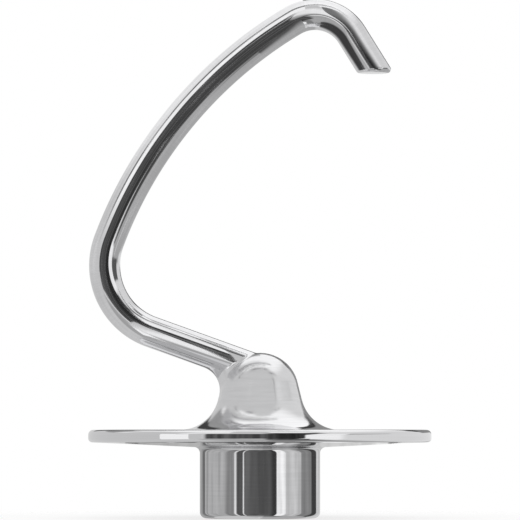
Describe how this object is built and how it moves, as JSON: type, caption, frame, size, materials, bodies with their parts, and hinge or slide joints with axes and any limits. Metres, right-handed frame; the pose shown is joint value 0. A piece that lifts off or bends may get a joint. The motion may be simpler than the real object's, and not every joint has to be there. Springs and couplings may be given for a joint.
{
  "type": "stand mixer dough hook",
  "caption": "C-shaped polished steel dough hook with a round bar, a domed boss, a drip disc and a hub bored for a mixer shaft with a locking pin.",
  "frame": {"origin": "centre of the hub's open end face, on the shaft axis, where the hook stands", "axes": "+Z along the shaft axis from the hub's open end towards the hook; the hook lies in the XZ plane and its tip points to +X"},
  "size_m": [0.1, 0.1, 0.1516],
  "materials": {
    "polished_steel": "polished"
  },
  "bodies": {
    "root": {"dough_hook": "polished_steel"}
  },
  "joints": []
}
